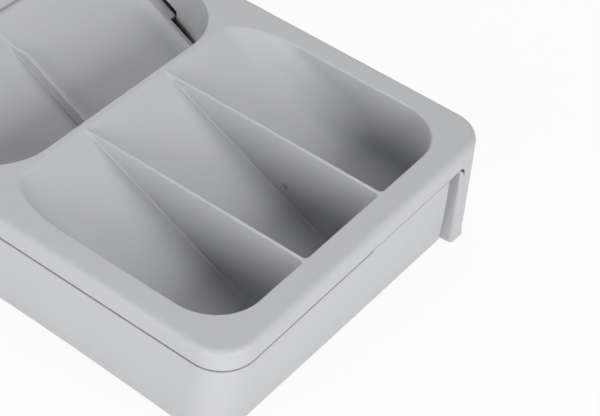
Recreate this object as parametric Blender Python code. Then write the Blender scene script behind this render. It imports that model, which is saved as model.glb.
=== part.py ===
# Expandable cutlery tray for a kitchen drawer, closed.
# An upper tray with sloping compartments stands on its right-hand wall and on a
# lower tray, which slides out to the left and makes one more compartment.
# Metres, +Z up. X runs left to right along the front, Y from front to back.
# The origin is on the drawer floor, below the middle of the closed tray.

from math import cos, pi, sin, sqrt

import bmesh
import bpy

# Overall size of the closed tray.
TRAY_WIDTH = 0.2935
TRAY_DEPTH = 0.371
TRAY_HEIGHT = 0.080

# Moulded walls.
WALL = 0.0022
TUB_WALL = 0.0020
DIVIDER_WALL = 0.0025
DRAFT_SHARE = 0.018

# Clearances between pieces.
SEAT_GAP = 0.0003
SEAM_GAP = 0.0015
SIDE_GAP = 0.0010

# Rim and apron of the upper tray.
RIM_WIDTH = 0.020
RIM_ROUND = 0.005
APRON_HEIGHT = 0.015
CORNER_RADIUS = 0.026
OPENING_RADIUS = 0.036

# Right-hand wall, which wraps both corners and ends in two legs.
LEG_WIDTH = 0.0285
LEG_FLARE = 0.002
ARCH_RADIUS = 0.007
FOOT_FLANGE_GAP = 0.0045

# Front row: three compartments whose floors slope down to the front.
FRONT_ROW_LENGTH = 0.1835
FRONT_FLOOR_LENGTH = 0.0175
FRONT_DIVIDER_SHARES = (0.327, 0.658)
FRONT_FILLET = 0.012
SIDE_FILLET = 0.023
DIVIDER_FILLET = 0.002

# Bridge bar between the rows, and the back opening behind it.
BRIDGE_WIDTH = 0.0065
BRIDGE_LIP = 0.008
BRIDGE_CORNER_RADIUS = 0.050
SKIRT_WALL = 0.002

# Back row: an insert with two sloping compartments, which runs on below the bridge.
BACK_FLOOR_LENGTH = 0.030
BACK_RAMP_DROP = 0.004
BACK_OVERLAP = 0.040
INSERT_SIDE_GAP = 0.0035
INSERT_SIDE_HEIGHT = 0.008
INSERT_FILLET = 0.010
INSERT_FLANGE = 0.005
INSERT_DIVIDER_DROP = 0.015
INSERT_LUG_SHARE = 0.44
SKIRT_LIFT = 0.012

# Lower tray, which slides out to the left.
FLOOR_THICKNESS = 0.002
LOWER_FRONT_LEAN = 0.004
LOWER_LEFT_LEAN = 0.0015
LIP_FLARE = 0.007
LIP_WIDTHS = (0.0090, 0.0070)
LIP_ROUND = 0.003
CHANNEL_WIDTHS = (0.0022, 0.0145)
CHANNEL_DEPTHS = (0.001, 0.008)
CHANNEL_FACE_LEAN = 0.001
LOWER_LEVEL_SHARES = (0.0, 0.5, 1.0)
RAIL_PLACE = 0.0240
RAIL_LENGTH = 0.0215
RAIL_WALL = 0.002
RAIL_FOOT = 0.006
SEAM_TAB_PLACE = 0.1535
SEAM_TAB_LENGTH = 0.0065
SEAM_TAB_HEIGHT = 0.0011
SEAM_RELIEF_LENGTH = 0.105
SEAM_RELIEF_DEPTH = 0.0010

# Non-slip feet.
FOOT_RADIUS = 0.006
FOOT_REACH = 0.001
FOOT_SINK = 0.0005
FOOT_BEVEL = 0.0003
FOOT_INSET_X = 0.032
FOOT_INSET_Y = 0.042
UPPER_FOOT_INSET_Y = 0.060

# How finely curves are cut into flats.
CORNER_STEPS = 7
ROUND_STEPS = 4
FILLET_STEPS = 4
LOWER_CORNER_STEPS = 6
LIP_STEPS = 3
FOOT_STEPS = 24

# The largest share of a hollow's length or width that one rounded corner may take.
CORNER_ROOM_SHARE = 0.48

# How far cutters run past what they cut.
OVERRUN = 0.002

# Places worked out from the sizes above.
LEFT = -TRAY_WIDTH / 2
RIGHT = TRAY_WIDTH / 2 - LEG_FLARE
FRONT = -TRAY_DEPTH / 2 + LIP_FLARE
BACK = TRAY_DEPTH / 2 - LIP_FLARE
TOP = TRAY_HEIGHT
APRON_BOTTOM = TOP - APRON_HEIGHT
LOWER_TOP = APRON_BOTTOM - SEAM_GAP
FLOOR_TOP = FOOT_REACH + FLOOR_THICKNESS
TUB_DEPTH = TOP - FLOOR_TOP - SEAT_GAP - TUB_WALL
FRONT_SLOPE = TUB_DEPTH / (FRONT_ROW_LENGTH - FRONT_FLOOR_LENGTH)
LEG_LEFT = RIGHT - LEG_WIDTH
LOWER_RIGHT = LEG_LEFT - SIDE_GAP
ROW_LEFT = LEFT + RIM_WIDTH
ROW_RIGHT = RIGHT - RIM_WIDTH
ROW_FRONT = FRONT + RIM_WIDTH
ROW_BACK = ROW_FRONT + FRONT_ROW_LENGTH
OPENING_FRONT = ROW_BACK + BRIDGE_WIDTH
OPENING_BACK = BACK - RIM_WIDTH
INSERT_LEFT = ROW_LEFT + INSERT_SIDE_GAP
INSERT_RIGHT = ROW_RIGHT - INSERT_SIDE_GAP
INSERT_FRONT = ROW_BACK - BACK_OVERLAP
BACK_RAMP_LENGTH = OPENING_BACK - INSERT_FRONT - TUB_WALL - BACK_FLOOR_LENGTH
BACK_SLOPE = (TUB_DEPTH - BACK_RAMP_DROP) / BACK_RAMP_LENGTH
OPENING_CORNER_ROOM = (OPENING_BACK - OPENING_FRONT) * CORNER_ROOM_SHARE
BRIDGE_CORNER = min(BRIDGE_CORNER_RADIUS, OPENING_CORNER_ROOM)
BACK_CORNER = min(OPENING_RADIUS, OPENING_CORNER_ROOM)
SKIN_BOTTOM = TOP - WALL


def clear_scene():
    for old in list(bpy.data.objects):
        bpy.data.objects.remove(old, do_unlink=True)


def plastic(name, colour, roughness):
    """A moulded plastic or rubber finish."""
    material = bpy.data.materials.new(name)
    material.use_nodes = True
    shader = material.node_tree.nodes["Principled BSDF"]
    shader.inputs["Base Color"].default_value = (*colour, 1.0)
    shader.inputs["Roughness"].default_value = roughness
    shader.inputs["Metallic"].default_value = 0.0
    return material


def add_object(name, vertices, faces):
    """A mesh object whose faces all point out."""
    mesh = bpy.data.meshes.new(name)
    mesh.from_pydata(vertices, [], faces)
    shape = bmesh.new()
    shape.from_mesh(mesh)
    bmesh.ops.recalc_face_normals(shape, faces=shape.faces)
    shape.to_mesh(mesh)
    shape.free()
    piece = bpy.data.objects.new(name, mesh)
    bpy.context.scene.collection.objects.link(piece)
    return piece


def loft(name, rings):
    """A solid through a stack of closed rings with equally many points each."""
    count = len(rings[0])
    vertices = [point for ring in rings for point in ring]
    faces = [tuple(range(count)), tuple(range(len(vertices) - count, len(vertices)))]
    for level in range(len(rings) - 1):
        low = level * count
        high = low + count
        for i in range(count):
            j = (i + 1) % count
            faces.append((low + i, low + j, high + j, high + i))
    return add_object(name, vertices, faces)


def prism_along_x(name, outline, left, right):
    """A solid whose (y, z) outline runs from left to right."""
    return loft(name, [[(x, y, z) for y, z in outline] for x in (left, right)])


def prism_along_y(name, outline, front, back):
    """A solid whose (x, z) outline runs from front to back."""
    return loft(name, [[(x, y, z) for x, z in outline] for y in (front, back)])


def box(name, left, right, front, back, bottom, top):
    outline = [(front, bottom), (back, bottom), (back, top), (front, top)]
    return prism_along_x(name, outline, left, right)


def disc(name, radius, bottom, top):
    """A round plug on the Z axis."""
    turns = [2 * pi * i / FOOT_STEPS for i in range(FOOT_STEPS)]
    rings = [[(radius * cos(a), radius * sin(a), z) for a in turns] for z in (bottom, top)]
    return loft(name, rings)


def level_ring(outline, z):
    return [(x, y, z) for x, y in outline]


def rounded_outline(left, right, front, back, radii, steps):
    """A rectangle with rounded corners: front left, front right, back right, back left.

    Each corner has a radius across and one from front to back.
    """
    signs = ((1, 1), (-1, 1), (-1, -1), (1, -1))
    corners = ((left, front), (right, front), (right, back), (left, back))
    points = []
    for i, ((x, y), (sx, sy), radius, count) in enumerate(zip(corners, signs, radii, steps)):
        across, along = radius
        for step in range(count + 1):
            angle = pi + pi / 2 * (i + step / count)
            points.append((x + across * (sx + cos(angle)), y + along * (sy + sin(angle))))
    return points


def even_corners(*radii):
    """Circular corners, given once for all four or one by one."""
    if len(radii) == 1:
        radii = radii * 4
    return [(radius, radius) for radius in radii]


def shift_path(path, distance):
    """An open path moved to its left by a distance, as a wall's other face."""
    moved = []
    for i, (x, y) in enumerate(path):
        before = path[max(i - 1, 0)]
        after = path[min(i + 1, len(path) - 1)]
        run_x = after[0] - before[0]
        run_y = after[1] - before[1]
        run = sqrt(run_x ** 2 + run_y ** 2)
        moved.append((x - run_y / run * distance, y + run_x / run * distance))
    return moved


def combine(piece, other, operation):
    """Join or cut a piece with another, which stays behind as a hidden guide."""
    other.hide_render = True
    other.display_type = "WIRE"
    modifier = piece.modifiers.new(other.name, "BOOLEAN")
    modifier.operation = operation
    modifier.solver = "EXACT"
    modifier.object = other


def join(piece, other):
    combine(piece, other, "UNION")


def cut(piece, other):
    combine(piece, other, "DIFFERENCE")


def finish(piece, material):
    piece.data.materials.clear()
    piece.data.materials.append(material)
    piece.data.shade_smooth()
    piece.data.set_sharp_from_angle(angle=pi / 6)


def fillet_inset(depth, floor_depth, fillet):
    """How far a drafted wall with a rounded foot stands in at a depth below the rim."""
    sunk = depth - (floor_depth - fillet)
    inset = DRAFT_SHARE * max(depth, 0)
    if sunk > 0:
        inset += fillet - sqrt(max(fillet ** 2 - sunk ** 2, 0))
    return inset


def compartment(name, sides, outer, front, ramp, floor_depth, fillets, corner, top_depth):
    """A hollow with upright walls and a floor that slopes down from the back.

    sides are its left and right faces, outer says which of them is a rounded outer
    wall and which a divider, ramp is the depth share and place of the slope's top,
    and fillets are those at the foot of the front wall and of an outer side wall.
    """
    front_fillet, side_fillet = fillets
    slope, ramp_top = ramp
    straight = floor_depth - side_fillet
    turns = [pi / 2 * i / FILLET_STEPS for i in range(FILLET_STEPS + 1)]
    depths = [top_depth, straight / 3, straight * 2 / 3]
    depths += [straight + side_fillet * sin(turn) for turn in turns]
    rings = []
    for depth in depths:
        insets = []
        for is_outer in outer:
            if is_outer:
                insets.append(fillet_inset(depth, floor_depth, side_fillet))
            else:
                insets.append(DIVIDER_WALL / 2 + DRAFT_SHARE / 2 * max(depth, 0))
        left = sides[0] + insets[0]
        right = sides[1] - insets[1]
        front_inset = fillet_inset(depth, floor_depth, front_fillet)
        back = ramp_top - depth / slope
        room = min(back - front - front_inset, right - left) * CORNER_ROOM_SHARE
        fronts = []
        backs = []
        for is_outer, inset in zip(outer, insets):
            full = corner - max(inset, front_inset) if is_outer else DIVIDER_FILLET
            near = min(max(full, DIVIDER_FILLET), room)
            blend = side_fillet if is_outer else DIVIDER_FILLET
            reach = blend * sqrt(1 + slope ** 2) / slope
            beyond = (back - front - front_inset - near) * CORNER_ROOM_SHARE * 2
            fronts.append((near, near))
            backs.append((min(blend, room), min(reach, beyond)))
        steps = [CORNER_STEPS if is_outer else 1 for is_outer in outer]
        outline = rounded_outline(left, right, front + front_inset, back,
                                  (fronts[0], fronts[1], backs[1], backs[0]),
                                  (steps[0], steps[1], steps[1], steps[0]))
        rings.append(level_ring(outline, TOP - depth))
    return loft(name, rings)


def foot_places(piece):
    """Where the feet of the upper or the lower tray stand."""
    if piece == "upper":
        x = (LEG_LEFT + FOOT_FLANGE_GAP + RIGHT) / 2
        y = TRAY_DEPTH / 2 - UPPER_FOOT_INSET_Y
        return [("front", x, -y), ("back", x, y)]
    left = LEFT + FOOT_INSET_X
    right = LOWER_RIGHT - FOOT_INSET_X
    y = TRAY_DEPTH / 2 - FOOT_INSET_Y
    return [("front_left", left, -y), ("front_right", right, -y),
            ("back_left", left, y), ("back_right", right, y)]


def foot_seats(piece, owner):
    """Shallow round seats under a tray for its feet."""
    for place, x, y in foot_places(owner):
        seat = disc(f"{owner}_seat_{place}", FOOT_RADIUS + SEAT_GAP,
                    -OVERRUN, FOOT_REACH + FOOT_SINK + SEAT_GAP)
        seat.location = (x, y, 0)
        cut(piece, seat)


def feet(owner, material):
    """Soft round pads, each in its seat."""
    for place, x, y in foot_places(owner):
        pad = disc(f"{owner}_foot_{place}", FOOT_RADIUS, 0, FOOT_REACH + FOOT_SINK)
        pad.location = (x, y, 0)
        edge = pad.modifiers.new("Edge", "BEVEL")
        edge.width = FOOT_BEVEL
        edge.segments = 1
        finish(pad, material)


def back_ramp_height(y):
    """Height of the back row's sloping floor at a place from front to back."""
    return TOP - BACK_RAMP_DROP - BACK_SLOPE * (OPENING_BACK - y)


def back_ramp_place(height):
    """Where the back row's sloping floor reaches a height."""
    return OPENING_BACK - (TOP - BACK_RAMP_DROP - height) / BACK_SLOPE


def front_ramp_under(y):
    """Height of the underside of the front row's sloping floor."""
    thickness = TUB_WALL * sqrt(1 + FRONT_SLOPE ** 2)
    return TOP - FRONT_SLOPE * (ROW_BACK - y) - thickness


def shell_outline(drop, flare, inset):
    """Outline of the upper tray at a level, flared out to the front, right and back."""
    radii = even_corners(CORNER_RADIUS - inset)
    return level_ring(rounded_outline(LEFT + inset, RIGHT + flare - inset,
                                      FRONT - flare + inset, BACK + flare - inset,
                                      radii, (CORNER_STEPS,) * 4), TOP - drop)


def upper_shell():
    """Rim, apron and the full-height right-hand wall with its two legs."""
    rings = []
    for i in range(ROUND_STEPS + 1):
        angle = pi / 2 * i / ROUND_STEPS
        inset = RIM_ROUND * (1 - sin(angle))
        rings.append(shell_outline(RIM_ROUND * (1 - cos(angle)), 0, inset))
    rings.append(shell_outline(TRAY_HEIGHT - FOOT_REACH, LEG_FLARE, 0))
    shell = loft("upper_tray", rings)
    inside = [shell_outline(TRAY_HEIGHT - FLOOR_TOP, LEG_FLARE, WALL),
              shell_outline(WALL, 0, WALL)]
    cut(shell, loft("shell_inside", inside))

    # Below the apron the front, left and back are open, for the lower tray.
    arch = [(LEFT - OVERRUN, -OVERRUN), (LEG_LEFT, -OVERRUN)]
    for i in range(ROUND_STEPS + 1):
        angle = pi / 2 * i / ROUND_STEPS
        arch.append((LEG_LEFT - ARCH_RADIUS * (1 - cos(angle)),
                     APRON_BOTTOM - ARCH_RADIUS * (1 - sin(angle))))
    arch.append((LEFT - OVERRUN, APRON_BOTTOM))
    reach = TRAY_DEPTH / 2 + OVERRUN
    cut(shell, prism_along_y("arch_opening", arch, -reach, reach))

    # What is left of the bottom is a narrow foot turned in along the right-hand wall.
    cut(shell, box("beside_foot", LEG_LEFT - OVERRUN, LEG_LEFT + FOOT_FLANGE_GAP,
                   FRONT + WALL * 2, BACK - WALL * 2, -OVERRUN, FLOOR_TOP + OVERRUN))
    return shell


def back_opening_outline(wall):
    """Outline of the opening over the back row, or of the wall round it."""
    near = BRIDGE_CORNER + wall
    far = BACK_CORNER + wall
    return rounded_outline(ROW_LEFT - wall, ROW_RIGHT + wall,
                           OPENING_FRONT - wall, OPENING_BACK + wall,
                           even_corners(near, near, far, far), (CORNER_STEPS,) * 4)


def well_skirt():
    """Walls that hang round the back opening, cut off along the insert's slope."""
    outline = back_opening_outline(SKIRT_WALL)
    bottom = back_ramp_height(OPENING_FRONT) + SKIRT_LIFT - OVERRUN
    skirt = loft("well_skirt", [level_ring(outline, z) for z in (bottom, TOP - WALL / 2)])
    low_y = OPENING_FRONT - SKIRT_WALL - OVERRUN
    high_y = BACK
    slope = [(low_y, back_ramp_height(low_y) + SKIRT_LIFT),
             (high_y, back_ramp_height(high_y) + SKIRT_LIFT),
             (high_y, -OVERRUN), (low_y, -OVERRUN)]
    cut(skirt, prism_along_x("skirt_slope", slope, LEFT, RIGHT))
    cut(skirt, box("bridge_clearance", ROW_LEFT + BRIDGE_CORNER, ROW_RIGHT - BRIDGE_CORNER,
                   OPENING_FRONT - SKIRT_WALL - OVERRUN, OPENING_FRONT + OVERRUN,
                   -OVERRUN, TOP - BRIDGE_LIP))
    return skirt


def upper_tray(material):
    """One moulding: shell, front compartments, bridge, back opening, foot flange."""
    tray = upper_shell()

    # The underside of the front compartments.
    ramp_wall = TUB_WALL * sqrt(1 + FRONT_SLOPE ** 2) / FRONT_SLOPE
    tub = compartment("front_row_outside", (ROW_LEFT - TUB_WALL, ROW_RIGHT + TUB_WALL),
                      (True, True), ROW_FRONT - TUB_WALL,
                      (FRONT_SLOPE, ROW_BACK + ramp_wall), TUB_DEPTH + TUB_WALL,
                      (FRONT_FILLET + TUB_WALL, SIDE_FILLET + TUB_WALL),
                      OPENING_RADIUS + TUB_WALL, WALL / 2)
    join(tray, tub)
    join(tray, well_skirt())

    # The three hollows of the front row.
    width = ROW_RIGHT - ROW_LEFT
    edges = [ROW_LEFT] + [ROW_LEFT + width * s for s in FRONT_DIVIDER_SHARES] + [ROW_RIGHT]
    for i, name in enumerate(("left", "middle", "right")):
        hollow = compartment(f"front_hollow_{name}", (edges[i], edges[i + 1]),
                             (i == 0, i == len(edges) - 2), ROW_FRONT,
                             (FRONT_SLOPE, ROW_BACK), TUB_DEPTH,
                             (FRONT_FILLET, SIDE_FILLET), OPENING_RADIUS, -OVERRUN)
        cut(tray, hollow)

    # The opening over the back row.
    opening = back_opening_outline(0)
    cut(tray, loft("back_opening", [level_ring(opening, z)
                                    for z in (FLOOR_TOP + OVERRUN, TOP + OVERRUN)]))
    foot_seats(tray, "upper")
    finish(tray, material)


def back_row_insert(material):
    """One moulding under the back opening, with two sloping compartments."""
    ramp_wall = TUB_WALL * sqrt(1 + BACK_SLOPE ** 2)
    seat = SKIN_BOTTOM - SEAT_GAP
    bottom = FLOOR_TOP + SEAT_GAP
    flange_back = OPENING_BACK + INSERT_FLANGE
    flange_under = seat - TUB_WALL
    side_end = back_ramp_place(seat - INSERT_SIDE_HEIGHT)
    outline = [(INSERT_FRONT, bottom),
               (back_ramp_place(bottom + ramp_wall), bottom),
               (back_ramp_place(flange_under + ramp_wall), flange_under),
               (flange_back, flange_under),
               (flange_back, seat),
               (side_end, seat),
               (ROW_BACK, back_ramp_height(ROW_BACK) + INSERT_SIDE_HEIGHT),
               (ROW_BACK, front_ramp_under(ROW_BACK) - SEAT_GAP),
               (INSERT_FRONT, front_ramp_under(INSERT_FRONT) - SEAT_GAP)]
    insert = prism_along_x("back_row_insert", outline, INSERT_LEFT, INSERT_RIGHT)

    # Near the back its sides step out to the walls of the opening.
    lug_front = OPENING_FRONT + (OPENING_BACK - OPENING_FRONT) * INSERT_LUG_SHARE
    lug_top = [(y, back_ramp_height(y) + INSERT_SIDE_HEIGHT) for y in (lug_front, side_end)]
    lug = lug_top + [(y, z - TUB_WALL) for y, z in reversed(lug_top)]
    join(insert, prism_along_x("insert_lugs", lug, ROW_LEFT + SEAT_GAP, ROW_RIGHT - SEAT_GAP))

    middle = (INSERT_LEFT + INSERT_RIGHT) / 2
    sides = ((INSERT_LEFT + TUB_WALL, middle), (middle, INSERT_RIGHT - TUB_WALL))
    for i, name in enumerate(("left", "right")):
        hollow = compartment(f"back_hollow_{name}", sides[i], (i == 0, i == 1),
                             INSERT_FRONT + TUB_WALL,
                             (BACK_SLOPE, OPENING_BACK + BACK_RAMP_DROP / BACK_SLOPE),
                             TUB_DEPTH, (INSERT_FILLET / 2, INSERT_FILLET),
                             INSERT_FILLET, -OVERRUN)
        cut(insert, hollow)

    # The divider between them stands lower than the rim.
    divider_top = TOP - INSERT_DIVIDER_DROP
    over_divider = [(INSERT_FRONT - OVERRUN, divider_top),
                    (back_ramp_place(divider_top - SEAT_GAP), divider_top),
                    (back_ramp_place(TOP - SEAT_GAP), TOP),
                    (INSERT_FRONT - OVERRUN, TOP)]
    cut(insert, prism_along_x("over_divider", over_divider,
                              middle - DIVIDER_WALL, middle + DIVIDER_WALL))
    finish(insert, material)


def lower_path(level_share):
    """Outline of the lower tray's walls from the front lip's end round to the back's.

    Beside each lip the wall turns in to an upright channel, then out again to the lip.
    """
    lean = 1 - level_share
    wall_y = FRONT + LOWER_FRONT_LEAN * lean
    lip_y = FRONT - LIP_FLARE * lean
    left = LEFT + LOWER_LEFT_LEAN * lean
    lip_left = LOWER_RIGHT - (LIP_WIDTHS[0] * lean + LIP_WIDTHS[1] * level_share)
    wall_end = lip_left - (CHANNEL_WIDTHS[0] * lean + CHANNEL_WIDTHS[1] * level_share)
    channel_y = wall_y + CHANNEL_DEPTHS[0] * lean + CHANNEL_DEPTHS[1] * level_share
    front = [(wall_end, wall_y), (wall_end + CHANNEL_FACE_LEAN, channel_y),
             (lip_left - CHANNEL_FACE_LEAN, channel_y)]
    for i in range(LIP_STEPS + 1):
        angle = pi / 2 * i / LIP_STEPS
        front.append((lip_left + LIP_ROUND * (1 - cos(angle)),
                      lip_y + LIP_ROUND * (1 - sin(angle))))
    front.append((LOWER_RIGHT, lip_y))
    corner = rounded_outline(left, RIGHT, wall_y, -wall_y, even_corners(CORNER_RADIUS),
                             (LOWER_CORNER_STEPS,) * 4)
    front_left = corner[:LOWER_CORNER_STEPS + 1]
    back_left = corner[-LOWER_CORNER_STEPS - 1:]
    back = [(x, -y) for x, y in reversed(front)]
    return back + back_left + front_left + front


def lower_tray(material):
    """The sliding moulding: floor, left, front and back walls, open to the right."""
    height = LOWER_TOP - FOOT_REACH
    tray = loft("lower_tray", [level_ring(lower_path(share), FOOT_REACH + height * share)
                               for share in LOWER_LEVEL_SHARES])

    # Its inside keeps an even wall and runs out at the right-hand end.
    floor_share = FLOOR_THICKNESS / height
    inside = []
    for share in (floor_share,) + LOWER_LEVEL_SHARES[1:]:
        inner = shift_path(lower_path(share), WALL)
        ends = [(LOWER_RIGHT + OVERRUN, inner[0][1]), (LOWER_RIGHT + OVERRUN, inner[-1][1])]
        inside.append(level_ring([ends[0]] + inner + [ends[1]], FOOT_REACH + height * share))
    inside.append([(x, y, LOWER_TOP + OVERRUN) for x, y, z in inside[-1]])
    cut(tray, loft("lower_inside", inside))

    # Rails at the right-hand ends run behind the apron and stop at its left corners.
    rail_front = WALL + SEAM_GAP / 2
    rail_back = rail_front + RAIL_WALL
    rail_right = LOWER_RIGHT - RAIL_PLACE
    rail = [(WALL / 2, LOWER_TOP - RAIL_FOOT - RAIL_WALL),
            (rail_back, LOWER_TOP - RAIL_FOOT),
            (rail_back, SKIN_BOTTOM - SEAT_GAP),
            (rail_front, SKIN_BOTTOM - SEAT_GAP),
            (rail_front, LOWER_TOP - SEAT_GAP),
            (WALL / 2, LOWER_TOP - SEAT_GAP)]
    tab_left = LEFT + SEAM_TAB_PLACE
    for name, side in (("front", 1), ("back", -1)):
        outline = [(side * (FRONT + y), z) for y, z in rail]
        join(tray, prism_along_x(f"rail_{name}", outline, rail_right - RAIL_LENGTH, rail_right))
        tab_y = sorted((side * (FRONT + WALL / 4), side * (FRONT + WALL * 3 / 4)))
        join(tray, box(f"seam_tab_{name}", tab_left, tab_left + SEAM_TAB_LENGTH, tab_y[0], tab_y[1],
                       LOWER_TOP - OVERRUN / 2, LOWER_TOP + SEAM_TAB_HEIGHT))
        relief_y = sorted((side * (FRONT - OVERRUN), side * (FRONT + WALL + OVERRUN)))
        cut(tray, box(f"seam_relief_{name}", tab_left - SEAM_RELIEF_LENGTH, tab_left,
                      relief_y[0], relief_y[1], LOWER_TOP - SEAM_RELIEF_DEPTH, LOWER_TOP + OVERRUN))
    # Its upper right-hand corners are rounded like those of the arch over them.
    radius = ARCH_RADIUS - SIDE_GAP
    corner = [(LOWER_RIGHT + OVERRUN, LOWER_TOP + OVERRUN),
              (LOWER_RIGHT + OVERRUN, LOWER_TOP - radius)]
    for i in range(ROUND_STEPS + 1):
        angle = pi / 2 * i / ROUND_STEPS
        corner.append((LOWER_RIGHT - radius * (1 - cos(angle)),
                       LOWER_TOP - radius * (1 - sin(angle))))
    corner.append((LOWER_RIGHT - radius, LOWER_TOP + OVERRUN))
    reach = TRAY_DEPTH / 2 + OVERRUN
    cut(tray, prism_along_y("lower_corners", corner, -reach, reach))
    foot_seats(tray, "lower")
    finish(tray, material)


clear_scene()
GREY = plastic("grey_plastic", (0.51, 0.52, 0.53), 0.5)
INSERT_GREY = plastic("insert_plastic", (0.50, 0.51, 0.52), 0.5)
LOWER_GREY = plastic("lower_plastic", (0.53, 0.54, 0.55), 0.5)
RUBBER = plastic("foot_rubber", (0.32, 0.33, 0.34), 0.85)
upper_tray(GREY)
back_row_insert(INSERT_GREY)
lower_tray(LOWER_GREY)
feet("upper", RUBBER)
feet("lower", RUBBER)
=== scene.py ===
# Expandable cutlery tray for a kitchen drawer, closed, as moulded in light grey plastic.
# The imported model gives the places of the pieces. This script dresses them: each
# moulding is skinned again with its rounded edges and blends, and given its finish.

from math import cos, pi, radians, sin, sqrt, tan

import bmesh
import bpy
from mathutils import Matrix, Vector


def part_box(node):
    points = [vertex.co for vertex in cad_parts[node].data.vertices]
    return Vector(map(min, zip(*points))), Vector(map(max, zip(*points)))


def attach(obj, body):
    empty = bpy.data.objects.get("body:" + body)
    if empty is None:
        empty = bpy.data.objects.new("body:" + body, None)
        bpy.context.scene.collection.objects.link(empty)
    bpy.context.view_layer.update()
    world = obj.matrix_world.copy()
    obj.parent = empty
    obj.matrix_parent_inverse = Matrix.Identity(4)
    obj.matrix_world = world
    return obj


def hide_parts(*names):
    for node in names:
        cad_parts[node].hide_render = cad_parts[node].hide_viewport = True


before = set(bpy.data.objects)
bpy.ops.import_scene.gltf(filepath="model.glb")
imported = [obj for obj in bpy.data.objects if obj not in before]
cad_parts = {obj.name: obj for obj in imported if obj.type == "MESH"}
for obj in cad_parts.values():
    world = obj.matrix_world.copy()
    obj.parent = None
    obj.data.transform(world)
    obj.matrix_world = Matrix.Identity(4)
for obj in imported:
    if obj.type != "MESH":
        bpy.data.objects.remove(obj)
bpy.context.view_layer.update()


# The lower tray: one thin-walled moulding of light grey polypropylene, open to the
# right. Its front and back walls turn in to a tapering channel and out again to a lip
# beside the legs, and a rail on each of them slides behind the upper tray's apron.

upper_low, upper_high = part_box("upper_tray")
lower_low, lower_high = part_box("lower_tray")
foot_low, foot_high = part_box("lower_foot_front_left")

WALL = 0.0022
EDGE_ROUND = 0.0003
CORNER_RADIUS = 0.026
CORNER_STEPS = 18
APRON_HEIGHT = 0.015
SEAM_GAP = 0.0015
SIDE_GAP = 0.0010
TUCK_GAP = 0.0003
LIP_FLARE = 0.007
LEG_FLARE = 0.002
FOOT_REACH = 0.001
FLOOR_THICKNESS = 0.002
OVERRUN = 0.002
ROUND_SHARE = 0.48
LEAST_RADIUS = TUCK_GAP / 10

rim_left = upper_low[0]
rim_right = upper_high[0] - LEG_FLARE
rim_front = lower_low[1] + LIP_FLARE
rim_back = -rim_front
rim_top = upper_high[2]
apron_bottom = rim_top - APRON_HEIGHT
lower_right = lower_high[0]
lower_top = apron_bottom - SEAM_GAP
lower_height = lower_top - FOOT_REACH
floor_top = FOOT_REACH + FLOOR_THICKNESS


def skin(name, rings):
    """A closed body skinned over a stack of rings with equally many points."""
    shape = bmesh.new()
    rows = [[shape.verts.new(point) for point in ring] for ring in rings]
    count = len(rows[0])
    for low, high in zip(rows, rows[1:]):
        for i in range(count):
            j = (i + 1) % count
            shape.faces.new((low[i], low[j], high[j], high[i]))
    shape.faces.new(rows[0])
    shape.faces.new(rows[-1])
    bmesh.ops.recalc_face_normals(shape, faces=shape.faces)
    mesh = bpy.data.meshes.new(name)
    shape.to_mesh(mesh)
    shape.free()
    body = bpy.data.objects.new(name, mesh)
    bpy.context.scene.collection.objects.link(body)
    return body


def bar_along_x(name, outline, left, right):
    """A bar whose (y, z) section runs from left to right."""
    return skin(name, [[(x, y, z) for y, z in outline] for x in (left, right)])


def bar_along_y(name, outline, front, back):
    """A bar whose (x, z) section runs from front to back."""
    return skin(name, [[(x, y, z) for x, z in outline] for y in (front, back)])


def at_height(outline, z):
    """A flat outline as a ring at one height."""
    return [(x, y, z) for x, y in outline]


def quarter(steps):
    """Angles from nought to a right angle."""
    return [pi / 2 * i / steps for i in range(steps + 1)]


def rounded_rectangle(left, right, front, back, corners, steps):
    """A rectangle's outline, with its corners front left, front right, back right, back left.

    Each corner has a radius across, a radius from front to back, and a number of steps.
    """
    places = ((left, front, 1, 1), (right, front, -1, 1),
              (right, back, -1, -1), (left, back, 1, -1))
    outline = []
    for i, ((x, y, sx, sy), (across, along), count) in enumerate(zip(places, corners, steps)):
        for turn in quarter(count):
            angle = pi + pi / 2 * i + turn
            outline.append((x + across * (sx + cos(angle)), y + along * (sy + sin(angle))))
    return outline


def turning_path(stops, distance, steps):
    """A path past stops of (place, radius), moved to its left by a distance.

    Each inner stop is rounded, as far as half of the stretches beside it allow.
    """
    spots = [Vector(place) for place, _ in stops]
    ways = [(after - before).normalized() for before, after in zip(spots, spots[1:])]
    lefts = [Vector((-way.y, way.x)) for way in ways]
    turns = [0] + [-way.angle_signed(onward) for way, onward in zip(ways, ways[1:])]
    moved = [spots[0] + lefts[0] * distance]
    for spot, way, left, turn in zip(spots[1:], ways, lefts, turns[1:]):
        moved.append(spot + (left - way * tan(turn / 2)) * distance)
    moved.append(spots[-1] + lefts[-1] * distance)
    path = []
    for i in range(1, len(spots) - 1):
        way = ways[i - 1]
        side = 1 if turns[i] > 0 else -1
        half = tan(abs(turns[i]) / 2)
        room = min((moved[i] - moved[i - 1]).length, (moved[i + 1] - moved[i]).length) * ROUND_SHARE
        radius = min(max(stops[i][1] - side * distance, LEAST_RADIUS), room / half)
        start = moved[i] - way * radius * half
        for step in range(steps + 1):
            angle = abs(turns[i]) * step / steps
            spot = start + (way * sin(angle) + lefts[i - 1] * side * (1 - cos(angle))) * radius
            path.append((spot.x, spot.y))
    return path + [(moved[-1].x, moved[-1].y)]


def edge_flare(depth, edge):
    """How far a rounded upper edge opens out at a depth."""
    if depth >= edge:
        return 0
    return edge - sqrt(edge ** 2 - (edge - max(depth, 0)) ** 2)


def settle(piece):
    """Makes a piece's modifiers part of its mesh."""
    seen = piece.evaluated_get(bpy.context.evaluated_depsgraph_get())
    piece.data = bpy.data.meshes.new_from_object(seen)
    piece.modifiers.clear()


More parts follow.
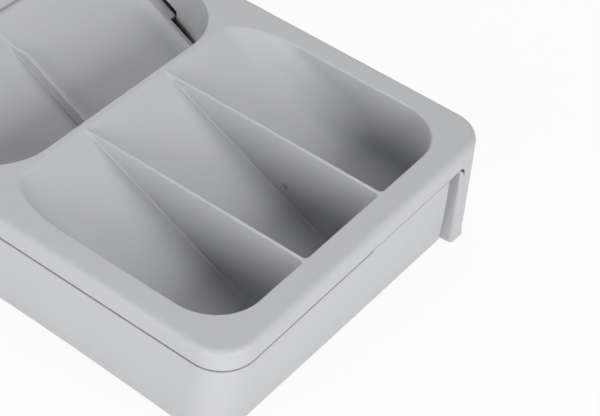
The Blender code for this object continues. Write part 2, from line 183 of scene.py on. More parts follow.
def work(piece, other, operation):
    """Cuts another body out of a piece or joins it on, and clears the other away."""
    step = piece.modifiers.new("work", "BOOLEAN")
    step.operation = operation
    step.solver = "EXACT"
    step.object = other
    settle(piece)
    bpy.data.objects.remove(other, do_unlink=True)


def carve(piece, *cutters):
    """Cuts bodies out of a piece, one after another."""
    for cutter in cutters:
        work(piece, cutter, "DIFFERENCE")


def weld(piece, *others):
    """Joins bodies on to a piece, one after another."""
    for other in others:
        work(piece, other, "UNION")


BROKEN_EDGE = 0.0003
BROKEN_EDGE_SEGMENTS = 2
SAME_POINT = BROKEN_EDGE / 50
SHARP_ANGLE = radians(50)
FACE_WEIGHT = 60


def soften(piece):
    """Breaks the sharp edges of a moulding and shades its faces evenly."""
    clean = bmesh.new()
    clean.from_mesh(piece.data)
    bmesh.ops.remove_doubles(clean, verts=clean.verts, dist=SAME_POINT)
    clean.to_mesh(piece.data)
    clean.free()
    edges = piece.modifiers.new("broken edges", "BEVEL")
    edges.width = BROKEN_EDGE
    edges.segments = BROKEN_EDGE_SEGMENTS
    edges.limit_method = "ANGLE"
    edges.angle_limit = SHARP_ANGLE
    edges.use_clamp_overlap = True
    edges.harden_normals = True
    piece.data.shade_smooth()
    even = piece.modifiers.new("even shading", "WEIGHTED_NORMAL")
    even.weight = FACE_WEIGHT
    even.keep_sharp = True


# how far the foot stands in below the top edge: the two ends of the front wall, the
# left corners, and the middle of the left wall beyond its corners
LEAN_LEFT = 0.0051
LEAN_RIGHT = 0.0021
LEAN_CORNER = 0.0010
LEFT_BOW = 0.0028
BOW_STEPS = 12

# the lip beside the leg, and the channel before it, which tapers away to the foot
LIP_WIDTH = 0.0037
LIP_WIDENING = 0.0062
LIP_ROUND = 0.0036
LIP_SPREAD = 0.0036
CHANNEL_WIDTH_BELOW = 0.0030
CHANNEL_WIDTH_ABOVE = 0.0152
CHANNEL_DEPTH_BELOW = 0.001
CHANNEL_DEPTH_ABOVE = 0.0086
CHANNEL_FACE_LEAN = 0.0007
CHANNEL_ROUND = 0.002
CHANNEL_TOP_ROUND = 0.005
WALL_END_ROUND = 0.0005
TURN_STEPS = 6

# the small tab in the seam, and how far the top edge hangs down to the left of it
TAB_PLACE = 0.1535
TAB_LENGTH = 0.0065
TAB_HEIGHT = 0.0012
TAB_LEAD = 0.0005
SEAM_SAG_TAB = 0.0017
SEAM_SAG_CORNER = 0.0016
SEAM_SAG_LEFT = 0.0007
SEAM_SAG_FALL = 5

tab_left = rim_left + TAB_PLACE


def front_wall(x, lean):
    """Where the lower tray's front wall stands, leaning in more to the left."""
    share = (lower_right - x) / (lower_right - rim_left)
    return rim_front + (LEAN_RIGHT + (LEAN_LEFT - LEAN_RIGHT) * share) * lean


def lower_walls(level, inset, seam_inset=None):
    """The lower tray's outline at a share of its height, set in from its outside.

    seam_inset is that of the walls to the left of the seam's tab, if it differs.
    """
    lean = 1 - level
    lip_y = rim_front - LIP_FLARE * lean
    lip_end = lower_right + LIP_SPREAD * lean ** 2
    lip_left = lower_right - LIP_WIDTH - LIP_WIDENING * lean ** 2
    wall_end = lip_left - CHANNEL_WIDTH_BELOW * lean - CHANNEL_WIDTH_ABOVE * level
    channel_depth = CHANNEL_DEPTH_BELOW * lean + CHANNEL_DEPTH_ABOVE * level
    channel_y = front_wall(wall_end, lean) + channel_depth
    lip_left -= edge_flare(lower_height * lean, CHANNEL_TOP_ROUND)
    front = turning_path([((tab_left, front_wall(tab_left, lean)), 0),
                          ((wall_end, front_wall(wall_end, lean)), WALL_END_ROUND),
                          ((wall_end + CHANNEL_FACE_LEAN, channel_y), CHANNEL_ROUND * level),
                          ((lip_left - CHANNEL_FACE_LEAN, channel_y), CHANNEL_ROUND * level),
                          ((lip_left, lip_y), LIP_ROUND), ((lip_end, lip_y), 0)],
                         inset, TURN_STEPS)
    seam = inset if seam_inset is None else seam_inset
    front = [(tab_left - TAB_LEAD, front_wall(tab_left, lean) + seam)] + front
    corner_y = front_wall(rim_left, lean) + seam
    even = [(CORNER_RADIUS - seam, CORNER_RADIUS - seam)] * 4
    left = rim_left + LEAN_CORNER * lean + seam
    corners = rounded_rectangle(left, rim_right, corner_y, -corner_y, even, [CORNER_STEPS] * 4)
    left_wall = []
    for i in range(1, BOW_STEPS):
        share = 1 - 2 * i / BOW_STEPS
        bow = LEFT_BOW * lean * (1 - share ** 2)
        left_wall.append((left + bow, (corner_y + CORNER_RADIUS - seam) * -share))
    round_count = CORNER_STEPS + 1
    back = [(x, -y) for x, y in reversed(front)]
    return back + corners[-round_count:] + left_wall + corners[:round_count] + front


def seam_sag(x):
    """How far the top edge hangs down to the left of the seam's tab."""
    share = (tab_left - x) / (tab_left - rim_left - CORNER_RADIUS)
    if share > 1:
        fall = min((share - 1) * SEAM_SAG_FALL, 1)
        return SEAM_SAG_CORNER + (SEAM_SAG_LEFT - SEAM_SAG_CORNER) * fall
    if x > tab_left - TAB_LEAD / 2:
        return 0
    return SEAM_SAG_TAB + (SEAM_SAG_CORNER - SEAM_SAG_TAB) * min(share, 1)


WALL_LEVELS = (0.15, 0.3, 0.45, 0.6, 0.75, 0.86, 0.92, 0.94, 0.955)
TOP_ROUND = 0.0012
LOWER_FOOT_ROUND = 0.0015
FLOOR_FILLET = 0.004
FILLET_STEPS = 5

outside = []
for turn in quarter(FILLET_STEPS):
    z = FOOT_REACH + LOWER_FOOT_ROUND * (1 - cos(turn))
    walls = lower_walls((z - FOOT_REACH) / lower_height, LOWER_FOOT_ROUND * (1 - sin(turn)))
    outside.append(at_height(walls, z))
for level in WALL_LEVELS:
    outside.append(at_height(lower_walls(level, 0), FOOT_REACH + lower_height * level))
for turn in quarter(FILLET_STEPS):
    z = lower_top - TOP_ROUND * (1 - sin(turn))
    walls = lower_walls((z - FOOT_REACH) / lower_height,
                        EDGE_ROUND * (1 - cos(turn)), TOP_ROUND * (1 - cos(turn)))
    outside.append([(x, y, z - seam_sag(x)) for x, y in walls])
lower = skin("lower_tray_moulding", outside)

inside = []
for turn in quarter(FILLET_STEPS):
    z = floor_top + FLOOR_FILLET * (1 - cos(turn))
    inside.append((z, WALL + FLOOR_FILLET * (1 - sin(turn))))
inside += [(FOOT_REACH + lower_height * level, WALL) for level in WALL_LEVELS]
for turn in quarter(FILLET_STEPS):
    inside.append((lower_top - EDGE_ROUND * (1 - sin(turn)), WALL - EDGE_ROUND * (1 - cos(turn))))
inside.append((lower_top + OVERRUN, WALL - EDGE_ROUND))
rings = []
open_end = lower_right + LIP_SPREAD + OVERRUN
for z, inset in inside:
    walls = lower_walls(min((z - FOOT_REACH) / lower_height, 1), inset)
    ring = [(open_end, walls[0][1])] + walls + [(open_end, walls[-1][1])]
    rings.append(at_height(ring, z))
floor_side = rim_front - LIP_FLARE + WALL + TUCK_GAP
past_floor = [(floor_side, -OVERRUN), (-floor_side, -OVERRUN),
              (-floor_side, floor_top + OVERRUN), (floor_side, floor_top + OVERRUN)]
carve(lower, skin("lower hollow", rings),
      bar_along_x("past the floor", past_floor, lower_right, open_end + OVERRUN))

RAIL_PLACE = 0.024
RAIL_LENGTH = 0.0215
RAIL_WALL = 0.002
RAIL_FOOT = 0.006
STEP_HEIGHT = 0.0001
STEP_WIDTH = 0.0006
STEP_FOOT = 0.003
STEP_INSET = EDGE_ROUND / 6
TAB_BASE = (0.1, 0.8)
TAB_CREST = (0.15, 0.7)

rail_near = WALL + SEAM_GAP / 2
rail_far = rail_near + RAIL_WALL
rail_right = lower_right - RAIL_PLACE
rail = [(WALL / 2, lower_top - RAIL_FOOT - RAIL_WALL), (rail_far, lower_top - RAIL_FOOT),
        (rail_far, rim_top - WALL - TUCK_GAP), (rail_near, rim_top - WALL - TUCK_GAP),
        (rail_near, lower_top - TUCK_GAP), (WALL / 2, lower_top - TUCK_GAP)]
step_lean = LEAN_RIGHT * STEP_FOOT / lower_height
step_right = lower_right - LIP_WIDTH - CHANNEL_WIDTH_ABOVE - EDGE_ROUND
step = [(step_lean + STEP_INSET, lower_top - STEP_FOOT), (step_lean + STEP_WIDTH, lower_top - STEP_FOOT),
        (STEP_WIDTH, lower_top + STEP_HEIGHT), (STEP_INSET, lower_top + STEP_HEIGHT)]
tab = [(WALL * TAB_BASE[0], lower_top - TAB_HEIGHT), (WALL * TAB_BASE[1], lower_top - TAB_HEIGHT),
       (WALL * TAB_CREST[1], lower_top + TAB_HEIGHT), (WALL * TAB_CREST[0], lower_top + TAB_HEIGHT)]
for side in (1, -1):
    for name, outline, left, right in (("rail", rail, rail_right - RAIL_LENGTH, rail_right),
                                       ("seam step", step, tab_left, step_right),
                                       ("seam tab", tab, tab_left, tab_left + TAB_LENGTH)):
        section = [(side * (rim_front + y), z) for y, z in outline]
        weld(lower, bar_along_x(name, section, left, right))

LIP_CORNER_RADIUS = 0.0078
ARCH_STEPS = 10

reach = upper_high[1] + lower_high[1]
corner = [(lower_right + OVERRUN, lower_top + OVERRUN),
          (lower_right + OVERRUN, lower_top - LIP_CORNER_RADIUS)]
corner += [(lower_right - LIP_CORNER_RADIUS * (1 - cos(turn)),
            lower_top - LIP_CORNER_RADIUS * (1 - sin(turn))) for turn in quarter(ARCH_STEPS)]
corner.append((lower_right - LIP_CORNER_RADIUS, lower_top + OVERRUN))
carve(lower, bar_along_y("rounded corners", corner, -reach, reach))

FOOT_RADIUS = (foot_high[0] - foot_low[0]) / 2
SEAT_STEPS = 48


def foot_places(*nodes):
    """The name and the middle of each foot."""
    for node in nodes:
        low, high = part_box(node)
        yield node, (low[0] + high[0]) / 2, (low[1] + high[1]) / 2


def round_ring(x, y, radius, z):
    """A level ring of points round a middle."""
    return [(x + radius * cos(2 * pi * i / SEAT_STEPS), y + radius * sin(2 * pi * i / SEAT_STEPS), z)
            for i in range(SEAT_STEPS)]


def foot_seats(piece, *nodes):
    """Shallow round seats under a moulding, one for each foot."""
    for _, x, y in foot_places(*nodes):
        radius = FOOT_RADIUS + TUCK_GAP
        carve(piece, skin("seat", [round_ring(x, y, radius, z)
                                   for z in (-OVERRUN, foot_high[2] + TUCK_GAP)]))


LOWER_FEET = ("lower_foot_front_left", "lower_foot_front_right",
              "lower_foot_back_left", "lower_foot_back_right")
foot_seats(lower, *LOWER_FEET)

soften(lower)


# name, scale, detail and roughness of the noises that the surface is mixed from
SURFACE_NOISES = (("Grain", 2600.0, 2.0, 0.6), ("Ripple", 240.0, 1.0, 0.4), ("Drift", 14.0, 3.0, 0.55))
GRAIN_IN_TONE = 0.35
RIPPLE_IN_GLOSS = 0.5
RIPPLE_IN_HEIGHT = 0.55


def moulded_surface_group():
    """The look of a spark-eroded mould: fine grain, soft unevenness and drifting tone."""
    group = bpy.data.node_groups.new("moulded surface", "ShaderNodeTree")
    for name, scale, _, _ in SURFACE_NOISES:
        socket = group.interface.new_socket(name, in_out="INPUT", socket_type="NodeSocketFloat")
        socket.default_value = scale
    for name in ("Tone", "Gloss", "Height"):
        group.interface.new_socket(name, in_out="OUTPUT", socket_type="NodeSocketFloat")
    nodes, links = group.nodes, group.links
    inputs = nodes.new("NodeGroupInput")
    outputs = nodes.new("NodeGroupOutput")
    place = nodes.new("ShaderNodeTexCoord")
    noises = {}
    for name, _, detail, roughness in SURFACE_NOISES:
        noise = nodes.new("ShaderNodeTexNoise")
        noise.inputs["Detail"].default_value = detail
        noise.inputs["Roughness"].default_value = roughness
        links.new(place.outputs["Object"], noise.inputs["Vector"])
        links.new(inputs.outputs[name], noise.inputs["Scale"])
        noises[name] = noise.outputs["Fac"]

    for first, second, share, output in (("Drift", "Grain", GRAIN_IN_TONE, "Tone"),
                                         ("Drift", "Ripple", RIPPLE_IN_GLOSS, "Gloss"),
                                         ("Grain", "Ripple", RIPPLE_IN_HEIGHT, "Height")):
        mix = nodes.new("ShaderNodeMix")
        mix.data_type = "FLOAT"
        mix.inputs["Factor"].default_value = share
        links.new(noises[first], mix.inputs["A"])
        links.new(noises[second], mix.inputs["B"])
        links.new(mix.outputs["Result"], outputs.inputs[output])
    return group


MOULDED_SURFACE = moulded_surface_group()
GRAIN_DEPTH = 0.00006
GRAIN_STRENGTH = 0.35
NOISE_RANGE = (0.3, 0.7)


def moulded_plastic(name, dark, light, gloss, grain):
    """Plastic between two near tones, with a roughness range and a grain of some scale."""
    material = bpy.data.materials.new(name)
    material.use_nodes = True
    nodes, links = material.node_tree.nodes, material.node_tree.links
    shader = nodes["Principled BSDF"]
    surface = nodes.new("ShaderNodeGroup")
    surface.node_tree = MOULDED_SURFACE
    surface.inputs["Grain"].default_value = grain
    tone = nodes.new("ShaderNodeMix")
    tone.data_type = "RGBA"
    tone.inputs["A"].default_value = (*dark, 1)
    tone.inputs["B"].default_value = (*light, 1)
    links.new(surface.outputs["Tone"], tone.inputs["Factor"])
    links.new(tone.outputs["Result"], shader.inputs["Base Color"])
    sheen = nodes.new("ShaderNodeMapRange")
    for end, seen, wanted in zip(("Min", "Max"), NOISE_RANGE, gloss):
        sheen.inputs["From " + end].default_value = seen
        sheen.inputs["To " + end].default_value = wanted
    links.new(surface.outputs["Gloss"], sheen.inputs["Value"])
    links.new(sheen.outputs["Result"], shader.inputs["Roughness"])
    bump = nodes.new("ShaderNodeBump")
    bump.inputs["Strength"].default_value = GRAIN_STRENGTH
    bump.inputs["Distance"].default_value = GRAIN_DEPTH
    links.new(surface.outputs["Height"], bump.inputs["Height"])
    links.new(bump.outputs["Normal"], shader.inputs["Normal"])
    return material


GREY_DARK = (0.475, 0.48, 0.492)
GREY_LIGHT = (0.515, 0.52, 0.532)
TRAY_GLOSS = (0.42, 0.55)
TRAY_GRAIN = 2600

tray_grey = moulded_plastic("light grey moulding", GREY_DARK, GREY_LIGHT, TRAY_GLOSS, TRAY_GRAIN)
lower.data.materials.append(tray_grey)
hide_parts("lower_tray")
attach(lower, "extension")


# The non-slip feet: soft grey rubber pads, pressed into round seats under both trays,
# with a rounded rim and a shallow dish in the face that grips the drawer floor.

PAD_ROUND = 0.0005
PAD_DISH = 0.0003
DISH_SHARES = (0.2, 0.45, 0.7, 0.86)
RUBBER_DARK = (0.29, 0.295, 0.30)
RUBBER_LIGHT = (0.34, 0.345, 0.355)
RUBBER_GLOSS = (0.75, 0.9)
RUBBER_GRAIN = 1500

foot_rubber = moulded_plastic("foot rubber", RUBBER_DARK, RUBBER_LIGHT, RUBBER_GLOSS, RUBBER_GRAIN)


def foot_pad(node, x, y, body):
    """A round pad, skinned over its rings from the dish up."""
    rings = [round_ring(x, y, FOOT_RADIUS * share, PAD_DISH * (1 - share ** 2)) for share in DISH_SHARES]
    for turn in quarter(FILLET_STEPS):
        rings.append(round_ring(x, y, FOOT_RADIUS - PAD_ROUND * (1 - sin(turn)),
                                PAD_ROUND * (1 - cos(turn))))
    for turn in quarter(FILLET_STEPS):
        rings.append(round_ring(x, y, FOOT_RADIUS - PAD_ROUND * (1 - cos(turn)),
                                foot_high[2] - PAD_ROUND * (1 - sin(turn))))
    pad = skin(node + "_pad", rings)
    pad.data.shade_smooth()
    pad.data.materials.append(foot_rubber)
    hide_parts(node)
    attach(pad, body)


for node, x, y in foot_places(*LOWER_FEET):
    foot_pad(node, x, y, "extension")


# The upper tray: one moulding in the same grey. A flat rim with a soft outer round
# and a short apron, a full-height wall on the right that wraps both corners, three
# front compartments with sloping floors, and the opening for the back row's insert.

RIM_WIDTH = 0.020
RIM_ROUND = 0.0045
OPENING_RADIUS = 0.036
OPENING_EDGE = 0.0015
LEG_WIDTH = 0.0285
ARCH_RADIUS = 0.007
FOOT_FLANGE_GAP = 0.0045
RIM_STEPS = 8
SHELL_LEVELS = (0.2, 0.4, 0.6, 0.8)

FRONT_ROW_LENGTH = 0.1835
FRONT_FLOOR_LENGTH = 0.0175
FRONT_FILLET = 0.012
SIDE_FILLET = 0.023
HOLLOW_STEPS = 8
HOLLOW_LEVELS = (0.12, 0.3, 0.5, 0.75)
TUB_WALL = 0.0020
DIVIDER_WALL = 0.0025
DIVIDER_ROUND = 0.0010
DIVIDER_CORNER = 0.0035
DIVIDER_BLEND = 0.0012
DRAFT = 0.018
DIVIDERS = (0.327, 0.658)

row_left = rim_left + RIM_WIDTH
row_right = rim_right - RIM_WIDTH
row_front = rim_front + RIM_WIDTH
row_back = row_front + FRONT_ROW_LENGTH
tub_depth = rim_top - floor_top - TUCK_GAP - TUB_WALL
front_slope = tub_depth / (FRONT_ROW_LENGTH - FRONT_FLOOR_LENGTH)
leg_left = rim_right - LEG_WIDTH


def shell_outline(flare, inset):
    """The upper tray's outline, flared out to the front, right and back."""
    even = [(CORNER_RADIUS - inset, CORNER_RADIUS - inset)] * 4
    return rounded_rectangle(rim_left + inset, rim_right + flare - inset,
                             rim_front - flare + inset, rim_back + flare - inset,
                             even, [CORNER_STEPS] * 4)


def set_in(depth, full_depth, fillet):
    """How far a drafted wall with a rounded foot stands in at a depth."""
    sunk = depth - (full_depth - fillet)
    inset = DRAFT * max(depth, 0)
    if sunk > 0:
        inset += fillet - sqrt(max(fillet ** 2 - sunk ** 2, 0))
    return inset


def compartment(name, left, right, front, ramp, full_depth, fillets, corner, edges):
    """A hollow with steep walls and a floor that slopes down from the back.

    left and right are (place, is it a rounded outer wall), ramp is (slope, place of its
    top), fillets are those of the front and the outer walls, and edges is the rounding
    of the outer edge and of the dividers' edges, or None for a plain solid.
    """
    slope, ramp_top = ramp
    front_fillet, side_fillet = fillets
    straight = full_depth - side_fillet
    depths = [straight * share for share in HOLLOW_LEVELS]
    depths += [straight + side_fillet * sin(turn) for turn in quarter(HOLLOW_STEPS)]
    if edges:
        outer_edge, divider_edge = edges
        rounding = [outer_edge * (1 - cos(turn)) for turn in quarter(HOLLOW_STEPS // 2)]
        depths = [-OVERRUN] + rounding + depths
    else:
        depths = [WALL / 2] + depths
        outer_edge = divider_edge = 0
    rings = []
    for depth in depths:
        opened = edge_flare(depth, outer_edge)
        sides = []
        for _, is_outer in (left, right):
            if is_outer:
                sides.append(set_in(depth, full_depth, side_fillet) - opened)
            else:
                thin = edge_flare(depth, divider_edge)
                sides.append(DIVIDER_WALL / 2 + DRAFT / 2 * max(depth, 0) - thin)
        near_inset = set_in(depth, full_depth, front_fillet) - opened
        near = front + near_inset
        far = ramp_top - max(depth, 0) / slope + opened
        west = left[0] + sides[0]
        east = right[0] - sides[1]
        room = min(far - near, east - west) * ROUND_SHARE
        fronts = []
        backs = []
        for (_, is_outer), inset in zip((left, right), sides):
            turn_in = DIVIDER_CORNER
            blend = DIVIDER_BLEND
            if is_outer:
                turn_in = max(corner - max(inset, near_inset), DIVIDER_CORNER)
                blend = side_fillet
            turn_in = min(turn_in, room)
            run = min(blend * sqrt(1 + slope ** 2) / slope, far - near - turn_in)
            fronts.append((turn_in, turn_in))
            backs.append((min(blend, room), run))
        steps = [CORNER_STEPS if side[1] else TURN_STEPS for side in (left, right)]
        outline = rounded_rectangle(west, east, near, far,
                                    (fronts[0], fronts[1], backs[1], backs[0]),
                                    (steps[0], steps[1], steps[1], steps[0]))
        rings.append(at_height(outline, rim_top - depth))
    return skin(name, rings)


rings = []
for turn in quarter(RIM_STEPS):
    outline = shell_outline(0, RIM_ROUND * (1 - sin(turn)))
    rings.append(at_height(outline, rim_top - RIM_ROUND * (1 - cos(turn))))
shell_height = rim_top - FOOT_REACH
for share in SHELL_LEVELS:
    rings.append(at_height(shell_outline(LEG_FLARE * share, 0), rim_top - shell_height * share))
for turn in quarter(FILLET_STEPS):
    rings.append(at_height(shell_outline(LEG_FLARE, EDGE_ROUND * (1 - cos(turn))),
                           FOOT_REACH + EDGE_ROUND * (1 - sin(turn))))
upper = skin("upper_tray_moulding", rings)
carve(upper, skin("under the rim", [at_height(shell_outline(LEG_FLARE, WALL), floor_top),
                                    at_height(shell_outline(0, WALL), rim_top - WALL)]))

arch = [(rim_left - OVERRUN, -OVERRUN), (leg_left, -OVERRUN)]
arch += [(leg_left - ARCH_RADIUS * (1 - cos(turn)), apron_bottom - ARCH_RADIUS * (1 - sin(turn)))
         for turn in quarter(ARCH_STEPS)]
arch.append((rim_left - OVERRUN, apron_bottom))
flange_left = leg_left + FOOT_FLANGE_GAP
beside_foot = [(leg_left - OVERRUN, -OVERRUN), (flange_left, -OVERRUN),
               (flange_left, floor_top + OVERRUN), (leg_left - OVERRUN, floor_top + OVERRUN)]
carve(upper, bar_along_y("arch", arch, -reach, reach),
      bar_along_y("beside the foot", beside_foot, rim_front + WALL * 2, rim_back - WALL * 2))

ramp_wall = TUB_WALL * sqrt(1 + front_slope ** 2) / front_slope
weld(upper, compartment("under the front row",
                        (row_left - TUB_WALL, True), (row_right + TUB_WALL, True), row_front - TUB_WALL,
                        (front_slope, row_back + ramp_wall), tub_depth + TUB_WALL,
                        (FRONT_FILLET + TUB_WALL, SIDE_FILLET + TUB_WALL),
                        OPENING_RADIUS + TUB_WALL, None))

BRIDGE_WIDTH = 0.0065
BRIDGE_LIP = 0.008
BRIDGE_CORNER_RADIUS = 0.050
SKIRT_WALL = 0.002
SKIRT_LIFT = 0.012
SKIRT_DEEP_LIFT = 0.001
SKIRT_DEEP_FROM = 0.011
INSERT_LUG_SHARE = 0.44
BACK_OVERLAP = 0.040
BACK_FLOOR_LENGTH = 0.030
BACK_RAMP_DROP = 0.004

opening_front = row_back + BRIDGE_WIDTH
opening_back = rim_back - RIM_WIDTH
insert_front = row_back - BACK_OVERLAP
back_ramp_length = opening_back - insert_front - TUB_WALL - BACK_FLOOR_LENGTH
back_slope = (tub_depth - BACK_RAMP_DROP) / back_ramp_length
lug_front = opening_front + (opening_back - opening_front) * INSERT_LUG_SHARE


def back_opening(wall):
    """The outline of the opening over the back row, or of the wall round it."""
    near = (BRIDGE_CORNER_RADIUS + wall, BRIDGE_CORNER_RADIUS + wall)
    far = (OPENING_RADIUS + wall, OPENING_RADIUS + wall)
    return rounded_rectangle(row_left - wall, row_right + wall,
                             opening_front - wall, opening_back + wall,
                             (near, near, far, far), [CORNER_STEPS] * 4)


def back_ramp_height(y):
    """How high the back row's slopes are at a place."""
    return rim_top - BACK_RAMP_DROP - back_slope * (opening_back - y)


def back_ramp_place(z):
    """Where the back row's slopes have a height."""
    return opening_back - (rim_top - BACK_RAMP_DROP - z) / back_slope


# the skirt round the back opening follows the slopes, and hangs lower beside the
# insert's sides, from near the bridge to the insert's lugs
skirt_low = back_ramp_height(opening_front) - OVERRUN
skirt = skin("well skirt", [at_height(back_opening(SKIRT_WALL), z)
                            for z in (skirt_low, rim_top - WALL / 2)])
low_y = opening_front - SKIRT_WALL - OVERRUN
deep_y = opening_front + SKIRT_DEEP_FROM
lug_y = lug_front - SIDE_GAP
below = [(y, back_ramp_height(y) + lift) for y, lift in (
    (low_y, SKIRT_LIFT), (deep_y, SKIRT_LIFT), (deep_y, SKIRT_DEEP_LIFT),
    (lug_y, SKIRT_DEEP_LIFT), (lug_y, SKIRT_LIFT), (rim_back, SKIRT_LIFT))]
below += [(rim_back, -OVERRUN), (low_y, -OVERRUN)]
lip = [(low_y, -OVERRUN), (opening_front + OVERRUN, -OVERRUN),
       (opening_front + OVERRUN, rim_top - BRIDGE_LIP), (low_y, rim_top - BRIDGE_LIP)]
carve(skirt, bar_along_x("below the skirt", below, rim_left, rim_right),
      bar_along_x("below the bridge", lip,
                  row_left + BRIDGE_CORNER_RADIUS, row_right - BRIDGE_CORNER_RADIUS))
weld(upper, skirt)

span = row_right - row_left
walls = [row_left] + [row_left + span * share for share in DIVIDERS] + [row_right]
for left, right in zip(walls, walls[1:]):
    carve(upper, compartment("front compartment", (left, left == row_left), (right, right == row_right),
                             row_front, (front_slope, row_back), tub_depth,
                             (FRONT_FILLET, SIDE_FILLET), OPENING_RADIUS, (OPENING_EDGE, DIVIDER_ROUND)))

GATE_RADIUS = 0.0024
GATE_DEPTH = 0.0015
GATE_BOTTOM = 0.9
GATE_PLACE = -0.0849
GATE_BELOW_RIM = 0.0396

# the dimple where the mould's gate was broken off, in the second partition's side
gate_x = walls[2] - DIVIDER_WALL / 2 - DRAFT / 2 * GATE_BELOW_RIM
gate_side = Vector((gate_x, GATE_PLACE, rim_top - GATE_BELOW_RIM))
gate_facing = Vector((-1, 0, DRAFT / 2)).to_track_quat("Z", "Y")
rings = []
for share, depth in ((GATE_BOTTOM, -GATE_DEPTH), (1, 0), (1, GATE_DEPTH)):
    ring = round_ring(0, 0, GATE_RADIUS * share, depth)
    rings.append([gate_side + gate_facing @ Vector(point) for point in ring])
carve(upper, skin("gate mark", rings))

rings = [at_height(back_opening(0), z) for z in (floor_top + OVERRUN, rim_top - RIM_ROUND)]
for turn in quarter(FILLET_STEPS):
    rings.append(at_height(back_opening(OPENING_EDGE * (1 - cos(turn))),
                           rim_top - OPENING_EDGE * (1 - sin(turn))))
rings.append(at_height(back_opening(OPENING_EDGE), rim_top + OVERRUN))
carve(upper, skin("back opening", rings))

UPPER_FEET = ("upper_foot_front", "upper_foot_back")
foot_seats(upper, *UPPER_FEET)
soften(upper)
upper.data.materials.append(tray_grey)
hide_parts("upper_tray")
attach(upper, "tray")
for node, x, y in foot_places(*UPPER_FEET):
    foot_pad(node, x, y, "tray")


# The back row's insert: a thin moulding of the same plastic, tucked under the rim
# behind the bridge. Two wide compartments slope down to the front, and run on
# below the bridge and under the slopes of the front row.

INSERT_SIDE_GAP = 0.0065
INSERT_SIDE_HEIGHT = 0.008
INSERT_FILLET = 0.010
INSERT_EDGE = 0.0007
INSERT_FLANGE = 0.005
INSERT_DIVIDER_DROP = 0.015

insert_left = row_left + INSERT_SIDE_GAP
insert_right = row_right - INSERT_SIDE_GAP
insert_middle = (insert_left + insert_right) / 2
seat = rim_top - WALL - TUCK_GAP
bottom = floor_top + TUCK_GAP
slope_wall = TUB_WALL * sqrt(1 + back_slope ** 2)


def below_front_row(y):
    """Just below the underside of the front row's slopes."""
    thickness = TUB_WALL * sqrt(1 + front_slope ** 2)
    return rim_top - front_slope * (row_back - y) - thickness - TUCK_GAP


flange_under = seat - TUB_WALL
side_end = back_ramp_place(seat - INSERT_SIDE_HEIGHT)
section = [(insert_front, bottom),
           (back_ramp_place(bottom + slope_wall), bottom),
           (back_ramp_place(flange_under + slope_wall), flange_under),
           (opening_back + INSERT_FLANGE, flange_under),
           (opening_back + INSERT_FLANGE, seat),
           (side_end, seat),
           (row_back, back_ramp_height(row_back) + INSERT_SIDE_HEIGHT),
           (row_back, below_front_row(row_back)),
           (insert_front, below_front_row(insert_front))]
insert = bar_along_x("back_row_insert_moulding", section, insert_left, insert_right)
lug = [(y, back_ramp_height(y) + INSERT_SIDE_HEIGHT) for y in (lug_front, side_end)]
lug += [(y, z - TUB_WALL) for y, z in reversed(lug)]
weld(insert, bar_along_x("side lugs", lug, row_left + TUCK_GAP, row_right - TUCK_GAP))
for left, right in (((insert_left + TUB_WALL, True), (insert_middle, False)),
                    ((insert_middle, False), (insert_right - TUB_WALL, True))):
    carve(insert, compartment("back compartment", left, right, insert_front + TUB_WALL,
                              (back_slope, opening_back + BACK_RAMP_DROP / back_slope), tub_depth,
                              (INSERT_FILLET / 2, INSERT_FILLET), INSERT_FILLET,
                              (INSERT_EDGE, INSERT_EDGE)))
divider_top = rim_top - INSERT_DIVIDER_DROP
over_divider = [(insert_front - OVERRUN, divider_top),
                (back_ramp_place(divider_top - TUCK_GAP), divider_top),
                (back_ramp_place(rim_top - TUCK_GAP), rim_top), (insert_front - OVERRUN, rim_top)]
carve(insert, bar_along_x("over the divider", over_divider,
                          insert_middle - DIVIDER_WALL, insert_middle + DIVIDER_WALL))
soften(insert)
insert.data.materials.append(tray_grey)
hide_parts("back_row_insert")
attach(insert, "tray")


# The studio: white paper under the tray, a dim pale room and five soft boxes. The
# strongest stand low in front and at the left, so that the outer walls are well lit
# and the compartments fall into shade.


def seen_directly(nodes, links):
    """One for rays from the camera, mirrors and glass, and nought for the light on the tray."""
    path = nodes.new("ShaderNodeLightPath")
    total = path.outputs["Is Camera Ray"]
    for other in ("Is Glossy Ray", "Is Transmission Ray"):
        larger = nodes.new("ShaderNodeMath")
        larger.operation = "MAXIMUM"
        links.new(total, larger.inputs[0])
        links.new(path.outputs[other], larger.inputs[1])
        total = larger.outputs["Value"]
    return total


FLOOR_SIZE = 6.0
PAPER_WHITE = (0.9, 0.9, 0.9, 1)
PAPER_ROUGHNESS = 0.9
PAPER_SPECULAR = 0.1
FIBRE_SCALE = 900
FIBRE_STRENGTH = 0.05
FIBRE_DEPTH = 0.0001
CAMERA_WHITE_SHARE = 0.92

half = FLOOR_SIZE / 2
floor_mesh = bpy.data.meshes.new("studio floor")
floor_corners = [(-half, -half, 0), (half, -half, 0), (half, half, 0), (-half, half, 0)]
floor_mesh.from_pydata(floor_corners, [], [(0, 1, 2, 3)])
floor = bpy.data.objects.new("studio floor", floor_mesh)
bpy.context.scene.collection.objects.link(floor)
paper = bpy.data.materials.new("white paper")
paper.use_nodes = True
nodes, links = paper.node_tree.nodes, paper.node_tree.links
shader = nodes["Principled BSDF"]
shader.inputs["Base Color"].default_value = PAPER_WHITE
shader.inputs["Roughness"].default_value = PAPER_ROUGHNESS
shader.inputs["Specular IOR Level"].default_value = PAPER_SPECULAR
fibre = nodes.new("ShaderNodeTexNoise")
fibre.inputs["Scale"].default_value = FIBRE_SCALE
fibre_bump = nodes.new("ShaderNodeBump")
fibre_bump.inputs["Strength"].default_value = FIBRE_STRENGTH
fibre_bump.inputs["Distance"].default_value = FIBRE_DEPTH
links.new(fibre.outputs["Fac"], fibre_bump.inputs["Height"])
links.new(fibre_bump.outputs["Normal"], shader.inputs["Normal"])
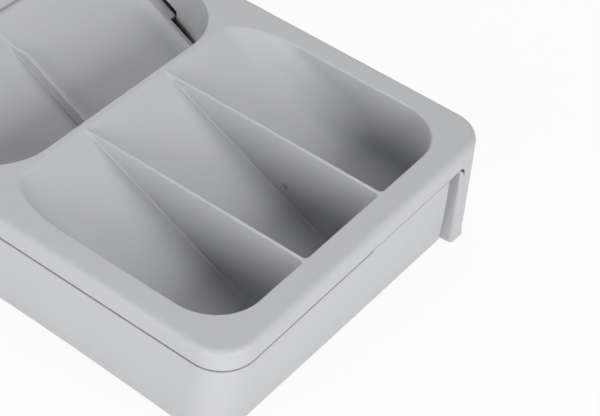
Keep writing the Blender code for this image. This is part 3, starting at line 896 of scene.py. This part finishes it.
white = nodes.new("ShaderNodeEmission")
white.inputs["Strength"].default_value = 1.0
seen_share = nodes.new("ShaderNodeMath")
seen_share.operation = "MULTIPLY"
seen_share.inputs[1].default_value = CAMERA_WHITE_SHARE
links.new(seen_directly(nodes, links), seen_share.inputs[0])
either = nodes.new("ShaderNodeMixShader")
links.new(seen_share.outputs["Value"], either.inputs["Fac"])
links.new(shader.outputs["BSDF"], either.inputs[1])
links.new(white.outputs["Emission"], either.inputs[2])
links.new(either.outputs["Shader"], nodes["Material Output"].inputs["Surface"])
floor_mesh.materials.append(paper)

ROOM_WHITE = (1, 1, 1, 1)
ROOM_LIGHT = 0.05

world = bpy.data.worlds.new("pale room")
bpy.context.scene.world = world
world.use_nodes = True
nodes, links = world.node_tree.nodes, world.node_tree.links
room = nodes["Background"]
room.inputs["Color"].default_value = ROOM_WHITE
room.inputs["Strength"].default_value = ROOM_LIGHT
backdrop = nodes.new("ShaderNodeBackground")
backdrop.inputs["Color"].default_value = ROOM_WHITE
backdrop.inputs["Strength"].default_value = 1.0
either = nodes.new("ShaderNodeMixShader")
links.new(seen_directly(nodes, links), either.inputs["Fac"])
links.new(room.outputs["Background"], either.inputs[1])
links.new(backdrop.outputs["Background"], either.inputs[2])
links.new(either.outputs["Shader"], nodes["World Output"].inputs["Surface"])


SOFT_BOX_SIZE = 1.6
# name, place and power of each lamp
SOFT_BOXES = (("front soft box", (-0.20, -2.25, 0.82), 39), ("left soft box", (-2.34, 0.16, 0.50), 42),
              ("front left soft box", (-1.64, -1.64, 0.62), 6),
              ("back right soft box", (0.88, 0.88, 2.05), 24),
              ("overhead soft box", (0.0, 0.0, 2.4), 4))

for name, place, power in SOFT_BOXES:
    light = bpy.data.lights.new(name, "AREA")
    light.shape = "RECTANGLE"
    light.size = SOFT_BOX_SIZE
    light.size_y = SOFT_BOX_SIZE
    light.energy = power
    lamp = bpy.data.objects.new(name, light)
    bpy.context.scene.collection.objects.link(lamp)
    lamp.location = place
    lamp.rotation_euler = (-Vector(place)).to_track_quat("-Z", "Y").to_euler()


# The camera stands above the near left-hand corner, where the photograph was taken
# from, and looks down on the front row and the full-height leg beyond it.

CAMERA_PLACE = Vector((-0.71115, -0.5678, 0.8617))
CAMERA_AIM = Vector((0.01825, -0.1110, 0.0500))
CAMERA_ROLL = radians(7.196)
CAMERA_LENS = 105.35
CAMERA_SENSOR = 36
CAMERA_NEAR = 0.01

camera_data = bpy.data.cameras.new("camera")
camera_data.lens = CAMERA_LENS
camera_data.sensor_width = CAMERA_SENSOR
camera_data.sensor_fit = "HORIZONTAL"
camera_data.clip_start = CAMERA_NEAR
camera = bpy.data.objects.new("camera", camera_data)
bpy.context.scene.collection.objects.link(camera)
camera.location = CAMERA_PLACE
aim = (CAMERA_AIM - CAMERA_PLACE).to_track_quat("-Z", "Y").to_matrix()
camera.rotation_euler = (aim @ aim.Rotation(CAMERA_ROLL, 3, "Z")).to_euler()
bpy.context.scene.camera = camera
bpy.context.scene.view_settings.view_transform = "Standard"
